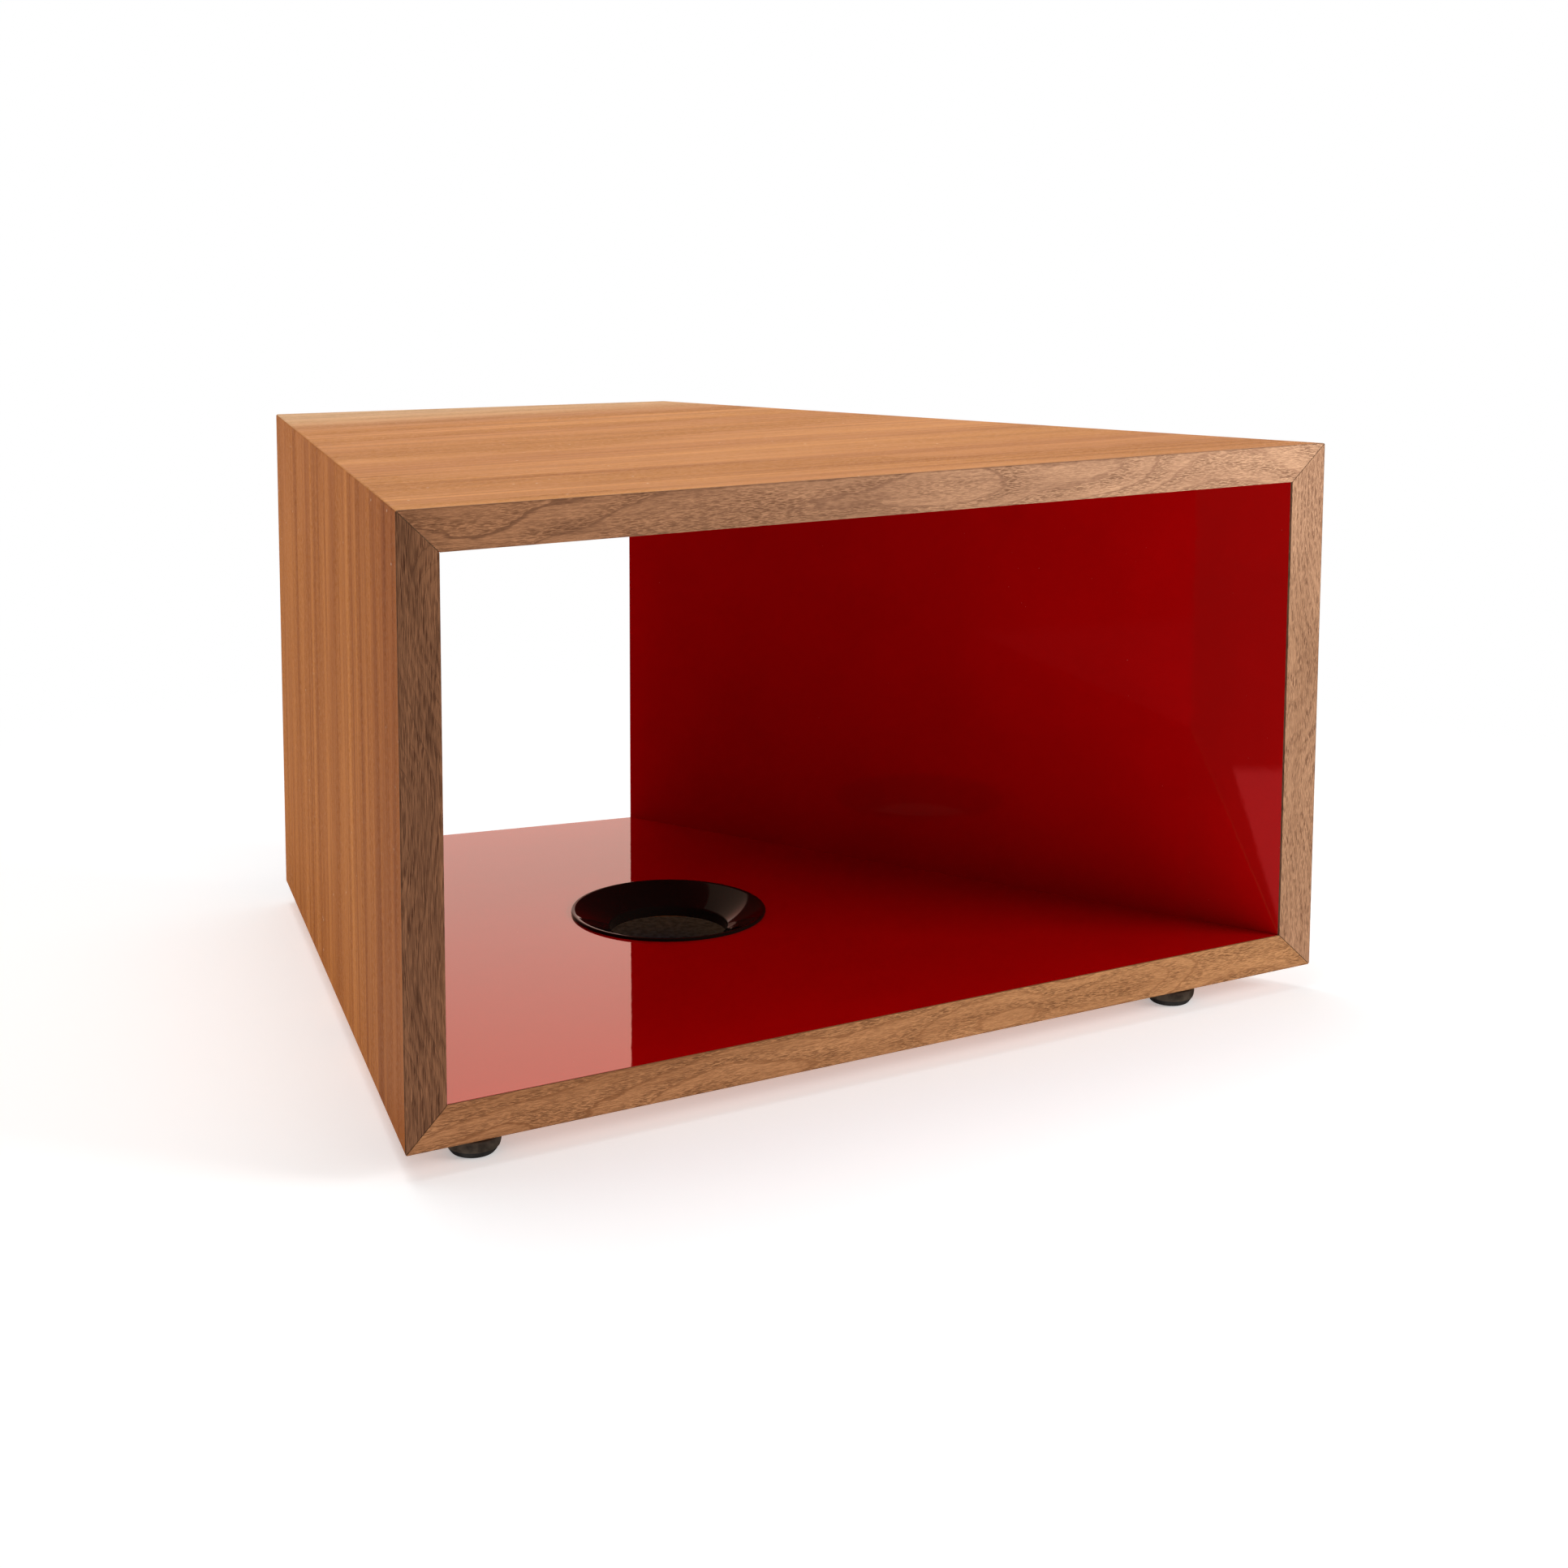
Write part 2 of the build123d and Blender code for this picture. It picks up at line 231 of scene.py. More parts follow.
def wire_wood_figure(graph: Graph, given: dict[str, Socket]) -> dict[str, Socket]:
    """Streaks, bands, growth rings and open pores of a piece of wood.

    Args:
        graph: The group's graph.
        given: The group's inputs.

    Returns:
        Colour, pores and height.
    """
    def swing(value: Socket, weight: Value) -> Socket:
        """A noise value as a weighted push up or down from its middle."""
        return graph.times(graph.math("SUBTRACT", value, 0.5), weight)

    drift = swing(graph.noise(graph.vector("MULTIPLY", given["Grain"], SWAY_WAVES)), given["sway"])
    fibres = graph.vector("ADD", given["Grain"], graph.combine(0.0, drift, drift))

    def stretched(length: Value, width: Value) -> Socket:
        """Fibre coordinates in units of a length along and a width across the grain."""
        return graph.vector("DIVIDE", fibres, graph.combine(length, width, width))

    length, width = given["streak_length"], given["streak_width"]
    wide = graph.noise(stretched(graph.times(length, 2.5), given["band_width"]))
    streaks = graph.noise(stretched(length, width), 5.0, 0.62)
    fine = graph.noise(stretched(graph.times(length, 0.3), graph.times(width, 0.28)), 3.0, 0.6)
    tone = 0.5
    for part, weight in ((wide, 0.8), (streaks, 0.9), (fine, 0.7)):
        tone = graph.math("ADD", graph.times(swing(part, weight), given["contrast"]), tone)

    radius = graph.length(graph.vector("MULTIPLY", given["Log"], (0.0, 1.0, 1.0)))
    warp = graph.noise(graph.vector("MULTIPLY", given["Log"], WARP_WAVES), 1.5)
    bent = graph.math("ADD", radius, swing(warp, given["ring_warp"]))
    ragged = graph.noise(graph.vector("MULTIPLY", given["Log"], RAGGED_WAVES))
    count = graph.math("ADD", graph.math("DIVIDE", bent, given["ring_spacing"]), swing(ragged, 0.35))
    ring = graph.math("FRACT", count)
    late_wood = graph.times(*(graph.remap(ring, *span) for span in LATE_WOOD))
    uneven = graph.noise(graph.combine(count, 0.0, 0.0), 1.0, 0.5, 0.7)
    strength = graph.remap(uneven, 0.35, 0.65, 0.25, 1.0)
    shade = graph.times(late_wood, strength, given["ring_strength"])
    tone = graph.remap(graph.math("SUBTRACT", tone, shade), 0.0, 1.0)
    colour = graph.mix(tone, given["Dark"], given["Pale"])

    along, across, deep = graph.split(fibres)
    sheet = graph.combine(along, graph.math("ADD", across, deep), 0.0)

    def dashes(share: float, thick: float, thin: float) -> Socket:
        """Short dark dashes along the grain, scattered over the face.

        Args:
            share: Their share of the full pore size.
            thick: How far their soft edge reaches.
            thin: How far their dark middle reaches.

        Returns:
            The dashes' mask.
        """
        pore_length = graph.times(given["pore_length"], share)
        pore_width = graph.times(given["pore_width"], share)
        places = graph.vector("DIVIDE", sheet, graph.combine(pore_length, pore_width, 1.0))
        return graph.remap(graph.cells(places, "2D").outputs["Distance"], thick, thin)

    long_pores = dashes(1.0, 0.34, 0.24)
    short_pores = graph.times(dashes(0.5, 0.36, 0.24), 0.85)
    patches = graph.remap(graph.noise(stretched(0.05, 0.012)), 0.36, 0.62, 0.75, 1.0)
    crowd = graph.times(patches, graph.remap(ring, 0.75, 0.15, 0.5, 1.0))
    pores = graph.times(graph.math("MAXIMUM", long_pores, short_pores), crowd)
    filled = graph.mix(1.0, colour, PORE_TINT, "MULTIPLY")
    colour = graph.mix(graph.times(pores, given["pore_strength"]), colour, filled)
    height = graph.math("SUBTRACT", graph.times(fine, 0.35), pores)
    return {"Color": colour, "Pores": pores, "Height": height}


def wire_specks(graph: Graph, given: dict[str, Socket]) -> dict[str, Socket]:
    """Scattered specks of dust.

    Args:
        graph: The group's graph.
        given: The group's inputs.

    Returns:
        The specks' mask.
    """
    spread, size = given["Spread"], given["Size"]
    places = graph.vector("DIVIDE", given["Vector"], graph.combine(spread, spread, spread))
    dots = graph.remap(graph.cells(places).outputs["Distance"], size, graph.times(size, 0.6))
    patches = graph.remap(graph.noise(places, 2.0, 0.5, 0.12), 0.42, 0.62)
    return {"Mask": graph.times(dots, patches)}


def wire_lacquer_ripple(graph: Graph, given: dict[str, Socket]) -> dict[str, Socket]:
    """The slow waves and faint orange peel of a gloss surface, and its uneven sheen.

    Args:
        graph: The group's graph.
        given: The group's inputs.

    Returns:
        Height in metres and a cloudy sheen value.
    """
    waves = graph.times(graph.noise(given["Vector"], 1.0, 0.5, 24.0), given["Waves"])
    peel = graph.times(graph.noise(given["Vector"], 1.0, 0.5, 130.0), given["Peel"])
    sheen = graph.noise(given["Vector"], 4.0, 0.6, 9.0)
    return {"Height": graph.math("ADD", waves, peel), "Sheen": sheen}


WOOD_FIGURE = Effect(
    "wood_figure",
    {
        "Grain": "Vector", "Log": "Vector", "Pale": "Color", "Dark": "Color",
        **dict.fromkeys(FIGURE_SIZES, "Float"),
    },
    {"Color": "Color", "Pores": "Float", "Height": "Float"},
    wire_wood_figure,
)
SPECKS = Effect(
    "dust_specks", {"Vector": "Vector", "Spread": "Float", "Size": "Float"}, {"Mask": "Float"}, wire_specks
)
LACQUER_RIPPLE = Effect(
    "lacquer_ripple", {"Vector": "Vector", "Waves": "Float", "Peel": "Float"},
    {"Height": "Float", "Sheen": "Float"}, wire_lacquer_ripple,
)


class Surface(Graph):
    """The graph of a material with one Principled shader."""

    def __init__(self, name: str) -> None:
        """Start the material.

        Args:
            name: Name of the material.
        """
        self.material = bpy.data.materials.new(name)
        self.material.use_nodes = True
        super().__init__(self.material.node_tree)
        self.principled = self.tree.nodes["Principled BSDF"]
        self.place = self.node("ShaderNodeTexCoord").outputs["Object"]

    def put(self, name: str, value: object) -> None:
        """Link or set one of the Principled shader's inputs."""
        self.feed(self.principled.inputs[name], value)

    def dust(self, spread: float, size: float, amount: Value = 1.0) -> Socket:
        """Mask of dust specks, from the metres between them and the share of that which one takes up."""
        specks = SPECKS.place(self, {"Vector": self.place, "Spread": spread, "Size": size})
        return self.times(specks["Mask"], amount)

    def bump(self, height: Socket, depth: float) -> None:
        """Dent the surface, by a depth in metres for one unit of height."""
        dent = self.node("ShaderNodeBump", {"Strength": 1.0, "Distance": depth, "Height": height})
        self.put("Normal", dent.outputs["Normal"])


@dataclass(frozen=True)
class LightAndToneFade:
    """A slow change of the wood's colours from one side of a piece to the other: painted light, shade and
    sheen where the light falls unevenly across the piece, and on the rails and stiles partly also the wood's
    own change of tone.
    """

    pale: Colour
    dark: Colour
    start: float
    end: float
    across: bool = False


@dataclass(frozen=True)
class Log:
    """Where a piece lay in its log: the tilt of the log's axis, and the piece's offset from it."""

    tilt: Place = (0.0, 0.0, 0.0)
    offset: Place = (0.0, 0.0, 0.0)


@dataclass(frozen=True)
class WoodFinish:
    """Walnut: its colours, with painted light and shade across a piece and on a lipping's sides, its figure
    and its lacquer.
    """

    pale: Colour
    dark: Colour
    contrast: float = 1.0
    sway: float = 0.002
    band_width: float = 0.045
    streak_width: float = 0.006
    streak_length: float = 0.5
    ring_spacing: float = 0.011
    ring_warp: float = 0.01
    ring_strength: float = 0.1
    pore_width: float = 0.0006
    pore_length: float = 0.009
    pore_strength: float = 0.3
    pore_depth: float = 0.00006
    roughness: float = 0.45
    specular: float = 0.2
    pore_roughness: float = 0.75
    dust: float = 0.0
    dust_colour: Colour = (0.85, 0.76, 0.62)
    dust_spread: float = 0.016
    dust_size: float = 0.07
    # Colour of a lipping's sides beside the joints: a dark glue line and painted shade in the gap.
    joint: Colour = (0.05, 0.022, 0.01)
    joint_and_shade_turn: Span = (0.8, 0.3)
    log: Log = Log()
    # Painted light and shade across the piece, partly also the wood's own tone.
    light_and_tone_fade: LightAndToneFade | None = None

    def material(self, name: str, turn: Euler, face: Vector | None = None) -> Material:
        """Make the wood for one piece.

        Args:
            name: Name of the material.
            turn: Turn that lays the piece's fibres along X.
            face: Way that a lipping's open face looks. Its sides, beside the joints, are painted dark:
                partly a dark glue line, partly painted shade in the gap between the parts.

        Returns:
            The material.
        """
        skin = Surface(name)
        fibres = skin.node("ShaderNodeMapping", {"Vector": skin.place, "Rotation": turn}).outputs[0]
        log_inputs = {"Vector": fibres, "Rotation": Euler(self.log.tilt), "Location": self.log.offset}
        log = skin.node("ShaderNodeMapping", log_inputs).outputs[0]
        pale, dark = self.pale, self.dark
        # Painted light: the colours change slowly across the piece for light, shade and sheen, and partly
        # for the wood's own tone.
        if self.light_and_tone_fade:
            way = skin.split(fibres)[1 if self.light_and_tone_fade.across else 0]
            share = skin.remap(way, self.light_and_tone_fade.start, self.light_and_tone_fade.end)
            pale = skin.mix(share, pale, self.light_and_tone_fade.pale)
            dark = skin.mix(share, dark, self.light_and_tone_fade.dark)
        sizes = {size: getattr(self, size) for size in FIGURE_SIZES}
        figure = WOOD_FIGURE.place(skin, {"Grain": fibres, "Log": log, "Pale": pale, "Dark": dark, **sizes})
        dusty = skin.dust(self.dust_spread, self.dust_size, self.dust)
        colour = skin.mix(dusty, figure["Color"], self.dust_colour)
        # Painted shade and a dark glue line on the lipping's sides, which look away from its open face.
        if face is not None:
            normal = skin.node("ShaderNodeTexCoord").outputs["Normal"]
            looks = skin.node("ShaderNodeVectorMath", {0: normal, 1: face}, operation="DOT_PRODUCT")
            turned_away = skin.remap(looks.outputs["Value"], *self.joint_and_shade_turn)
            colour = skin.mix(turned_away, colour, self.joint)
        roughness = skin.remap(figure["Pores"], 0.0, 1.0, self.roughness, self.pore_roughness)
        skin.put("Base Color", colour)
        skin.put("Roughness", roughness)
        skin.put("Specular IOR Level", self.specular)
        skin.bump(figure["Height"], self.pore_depth)
        return skin.material


@dataclass(frozen=True)
class GlossFinish:
    """A mirror gloss skin, such as laminate or a polished moulding."""

    colour: Colour
    deep_colour: Colour
    roughness: float
    index: float
    waves: float = 0.0
    peel: float = 0.0
    cloud_span: Span = (0.3, 0.7)
    dull_span: Span = (0.3, 0.75)
    dull_share: float = 1.6
    dust: float = 0.0
    dust_colour: Colour = (0.8, 0.6, 0.55)
    dust_spread: float = 0.011
    dust_size: float = 0.035
    dust_roughness: float = 0.5

    def material(self, name: str) -> Material:
        """Make the gloss skin.

        Args:
            name: Name of the material.

        Returns:
            The material.
        """
        skin = Surface(name)
        ripple_inputs = {"Vector": skin.place, "Waves": self.waves, "Peel": self.peel}
        ripple = LACQUER_RIPPLE.place(skin, ripple_inputs)
        dusty = skin.dust(self.dust_spread, self.dust_size, self.dust)
        cloudy = skin.mix(skin.remap(ripple["Sheen"], *self.cloud_span), self.colour, self.deep_colour)
        dull = self.roughness * self.dull_share
        sheen = skin.remap(ripple["Sheen"], *self.dull_span, self.roughness, dull)
        skin.put("Base Color", skin.mix(dusty, cloudy, self.dust_colour))
        skin.put("Roughness", skin.math("ADD", sheen, skin.times(dusty, self.dust_roughness)))
        skin.put("IOR", self.index)
        skin.bump(ripple["Height"], 1.0)
        return skin.material


@dataclass(frozen=True)
class MouldedFinish:
    """A satin moulding or rubber with a fine grain, dulled by dust."""

    colour: Colour
    dusty_colour: Colour
    roughness: float
    dusty_roughness: float
    grain: float
    grain_depth: float
    specular: float
    film_scale: float = 70.0
    film_span: Span = (0.35, 0.68)
    dust_spread: float = 0.003
    dust_size: float = 0.12

    def material(self, name: str) -> Material:
        """Make the moulding's material.

        Args:
            name: Name of the material.

        Returns:
            The material.
        """
        skin = Surface(name)
        film = skin.remap(skin.noise(skin.place, 5.0, 0.65, self.film_scale), *self.film_span)
        dust = skin.math("MAXIMUM", film, skin.dust(self.dust_spread, self.dust_size))
        skin.put("Base Color", skin.mix(dust, self.colour, self.dusty_colour))
        skin.put("Roughness", skin.remap(film, 0.0, 1.0, self.roughness, self.dusty_roughness))
        skin.put("Specular IOR Level", self.specular)
        skin.bump(skin.noise(skin.place, 2.0, 0.5, 1.0 / self.grain), self.grain_depth)
        return skin.material


@dataclass(frozen=True)
class SteelFinish:
    """Zinc-plated steel with soft spangle and turning marks."""

    colour: Colour = (0.62, 0.63, 0.62)
    dull_colour: Colour = (0.42, 0.42, 0.4)
    roughness: float = 0.25
    dull_roughness: float = 0.45
    spangle_scale: float = 180.0
    spangle_span: Span = (0.3, 0.7)
    mark_waves: Place = (60.0, 60.0, 5000.0)
    mark_depth: float = 0.00002

    def material(self, name: str) -> Material:
        """Make the plated steel.

        Args:
            name: Name of the material.

        Returns:
            The material.
        """
        skin = Surface(name)
        spangle = skin.noise(skin.place, 4.0, 0.6, self.spangle_scale)
        colour = skin.mix(skin.remap(spangle, *self.spangle_span), self.colour, self.dull_colour)
        roughness = skin.remap(spangle, *self.spangle_span, self.roughness, self.dull_roughness)
        marks = skin.noise(skin.vector("MULTIPLY", skin.place, self.mark_waves))
        skin.put("Base Color", colour)
        skin.put("Roughness", roughness)
        skin.put("Metallic", 1.0)
        skin.bump(marks, self.mark_depth)
        return skin.material


@dataclass(frozen=True)
class ChipFinish:
    """Raw board of pressed wood chips or fibres."""

    pale: Colour
    dark: Colour
    chip_length: float
    chip_width: float
    chip_depth: float = 0.0002
    roughness: Span = (0.7, 0.9)

    def material(self, name: str) -> Material:
        """Make the raw board.

        Args:
            name: Name of the material.

        Returns:
            The material.
        """
        skin = Surface(name)
        chip_size = (self.chip_length, self.chip_width, self.chip_width)
        chips = skin.cells(skin.vector("DIVIDE", skin.place, chip_size))
        shade = skin.node("ShaderNodeSeparateColor", {0: chips.outputs["Color"]}).outputs[0]
        skin.put("Base Color", skin.mix(skin.remap(shade, 0.0, 1.0), self.pale, self.dark))
        skin.put("Roughness", skin.remap(shade, 0.0, 1.0, *self.roughness))
        skin.bump(chips.outputs["Distance"], self.chip_depth)
        return skin.material


# Painted light and shade: the top and the walls share one veneer. The top's copy is paler, as lit, and paler
# still towards the back, a painted sheen; the copy for the walls and underside is darker, as shaded, and
# darker still towards the front.
LIT_TOP_VENEER = WoodFinish(
    pale=(0.65, 0.3, 0.084), dark=(0.4, 0.152, 0.033), contrast=1.4, streak_width=0.007, sway=0.0015,
    specular=0.1, dust=0.6, ring_strength=0.06, log=Log(tilt=(0.0, 0.01, 0.006), offset=(0.0, 0.12, 0.9)),
    light_and_tone_fade=LightAndToneFade(pale=(0.72, 0.475, 0.25), dark=(0.49, 0.295, 0.145), start=0.15, end=0.3, across=True),
)
SHADED_SIDE_VENEER = replace(
    LIT_TOP_VENEER, pale=(0.456, 0.162, 0.033), dark=(0.275, 0.077, 0.011), contrast=1.5, streak_width=0.008,
    band_width=0.03,
    light_and_tone_fade=LightAndToneFade(pale=(0.33, 0.1, 0.018), dark=(0.19, 0.044, 0.0055), start=-0.08, end=-0.32, across=True),
)
VENEERS = {**dict.fromkeys(Board, SHADED_SIDE_VENEER), Board.TOP: LIT_TOP_VENEER}
OPEN_PORED = WoodFinish(
    pale=(0.47, 0.225, 0.1), dark=(0.26, 0.105, 0.04), contrast=1.1, sway=0.004, band_width=0.02,
    streak_width=0.0018, streak_length=0.05, ring_spacing=0.0065, ring_warp=0.16, ring_strength=0.4,
    pore_width=0.0009, pore_length=0.011, pore_strength=1.0, pore_depth=0.0001, roughness=0.5, specular=0.12,
)
# Painted light and shade, partly also the wood's own tone: the left stile is dark and the right stile pale,
# the rails turn from dark on the left to pale on the right where more light falls from the right, and the
# right stile turns paler towards its top.
HEARTWOOD_IN_SHADE = replace(OPEN_PORED, pale=(0.235, 0.102, 0.046), dark=(0.102, 0.042, 0.018), pore_length=0.026)
SAPWOOD_IN_LIGHT = replace(OPEN_PORED, pale=(0.437, 0.237, 0.13), dark=(0.288, 0.144, 0.074))
TOP_RAIL = replace(
    OPEN_PORED, pale=(0.33, 0.145, 0.063), dark=(0.145, 0.058, 0.024), joint=(0.16, 0.07, 0.032),
    ring_spacing=0.014, ring_strength=0.75, pore_strength=0.8,
    light_and_tone_fade=LightAndToneFade(pale=(0.8, 0.5, 0.31), dark=(0.55, 0.305, 0.185), start=-0.55, end=1.0),
)
BOTTOM_RAIL = replace(
    OPEN_PORED, pale=(0.4, 0.18, 0.075), dark=(0.215, 0.083, 0.029), joint=(0.26, 0.12, 0.05),
    ring_spacing=0.012, ring_strength=0.85, pore_strength=0.85,
    light_and_tone_fade=LightAndToneFade(pale=(0.48, 0.235, 0.095), dark=(0.295, 0.13, 0.048), start=-0.45, end=0.35),
)
RIGHT_STILE = replace(
    SAPWOOD_IN_LIGHT, light_and_tone_fade=LightAndToneFade(pale=(0.56, 0.32, 0.19), dark=(0.37, 0.195, 0.11), start=0.28, end=0.44),
)
LIPPINGS = {
    Layer.FRONT_LIPPING: {
        Board.LEFT: replace(HEARTWOOD_IN_SHADE, log=Log((0.0, 0.02, 0.02), (0.0, 0.3, 0.02))),
        Board.RIGHT: replace(RIGHT_STILE, log=Log((0.0, 0.02, 0.01), (0.0, 0.3, 0.02))),
        Board.TOP: replace(TOP_RAIL, log=Log((0.0, 0.09, 0.05), (0.0, 0.33, -0.44))),
        Board.BOTTOM: replace(BOTTOM_RAIL, log=Log((0.0, 0.08, 0.06), (0.0, 0.31, -0.02))),
    },
    Layer.BACK_LIPPING: {
        Board.LEFT: replace(OPEN_PORED, log=Log((0.0, 0.02, 0.02), (0.0, -0.3, 0.02))),
        Board.RIGHT: replace(OPEN_PORED, log=Log((0.0, 0.02, 0.01), (0.0, -0.3, 0.02))),
        Board.TOP: replace(OPEN_PORED, log=Log((0.0, 0.07, 0.05), (0.0, -0.3, -0.44))),
        Board.BOTTOM: replace(OPEN_PORED, log=Log((0.0, 0.08, 0.04), (0.0, -0.3, -0.04))),
    },
}

# Painted light and shade: the walls, ceiling and floor share one red laminate; the floor's copy is paler, as
# lit, and the others' copy darker, as shaded.
SHADED_RED_LINING = GlossFinish(
    colour=(0.385, 0.0006, 0.0012), deep_colour=(0.345, 0.0004, 0.001), roughness=0.02, index=1.8,
    waves=0.00002, peel=0.00001, dust=0.25,
)
LIT_RED_FLOOR = replace(SHADED_RED_LINING, colour=(0.465, 0.0006, 0.0012), deep_colour=(0.425, 0.0004, 0.001))
LAMINATES = {**dict.fromkeys(Board, SHADED_RED_LINING), Board.BOTTOM: LIT_RED_FLOOR}
BLACK_GLOSS = GlossFinish(
    colour=(0.008, 0.005, 0.004), deep_colour=(0.006, 0.004, 0.003), roughness=0.05, index=1.17,
    waves=0.00001, peel=0.0000006, dust=0.3,
)
BLACK_FOOT = MouldedFinish(
    colour=(0.022, 0.016, 0.011), dusty_colour=(0.06, 0.044, 0.03), roughness=0.38, dusty_roughness=0.62,
    grain=0.0006, grain_depth=0.00005, specular=0.2,
)
BLACK_RUBBER = MouldedFinish(
    colour=(0.009, 0.008, 0.008), dusty_colour=(0.022, 0.02, 0.018), roughness=0.5, dusty_roughness=0.75,
    grain=0.0009, grain_depth=0.0001, specular=0.2,
)
ZINC_STEEL = SteelFinish()
RAW_BOARD = ChipFinish(pale=(0.5, 0.37, 0.22), dark=(0.34, 0.22, 0.12), chip_length=0.004, chip_width=0.002)
PRESSED_BEECH = ChipFinish(
    pale=(0.62, 0.44, 0.27), dark=(0.52, 0.35, 0.2), chip_length=0.006, chip_width=0.0008
)


def dress_node(node: str, material: Material) -> None:
    """Give a CAD node that stays in view a better material.

    Args:
        node: The CAD node.
        material: Its finish.
    """
    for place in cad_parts[node].material_slots:
        place.material = material
    LOG.info("%s: CAD solid with %s", node, material.name)


def add_object(name: str, data: bpy.types.ID) -> bpy.types.Object:
    """Put a mesh, a lamp or a lens into the scene.

    Args:
        name: Name of the object.
        data: What it holds.

    Returns:
        The object.
    """
    made = bpy.data.objects.new(name, data)
    bpy.context.scene.collection.objects.link(made)
    return made


def ease(bm: BMesh, geom: list, size: float, steps: int, affect: str = "EDGES") -> None:
    """Round edges of a piece, or corners of a line."""
    bmesh.ops.bevel(bm, geom=geom, offset=size, affect=affect, segments=steps, profile=0.5, material=-1)


def finish_piece(bm: BMesh, node: str, body: str, material: Material, turned: bool = False) -> None:
    """Turn a finished bmesh into the piece that stands for a CAD node.

    Args:
        bm: The piece in the row frame. It is freed.
        node: CAD node that the piece replaces.
        body: CAD body that the piece rides on.
        material: Its finish.
        turned: Whether its curved faces are shaded smooth.
    """
    bmesh.ops.remove_doubles(bm, verts=bm.verts, dist=WELD)
    bmesh.ops.recalc_face_normals(bm, faces=bm.faces)
    mesh = bpy.data.meshes.new(f"dressed_{node}")
    bm.to_mesh(mesh)
    bm.free()
    mesh.materials.append(material)
    if mesh.has_custom_normals:
        mesh.attributes.remove(mesh.attributes["custom_normal"])
    mesh.shade_flat()
    if turned:
        mesh.shade_smooth()
        mesh.set_sharp_from_angle(angle=CURVE_ANGLE)
    piece = add_object(mesh.name, mesh)
    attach(piece, body)
    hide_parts(node)
    LOG.info("%s: %d faces with %s", piece.name, len(mesh.polygons), material.name)


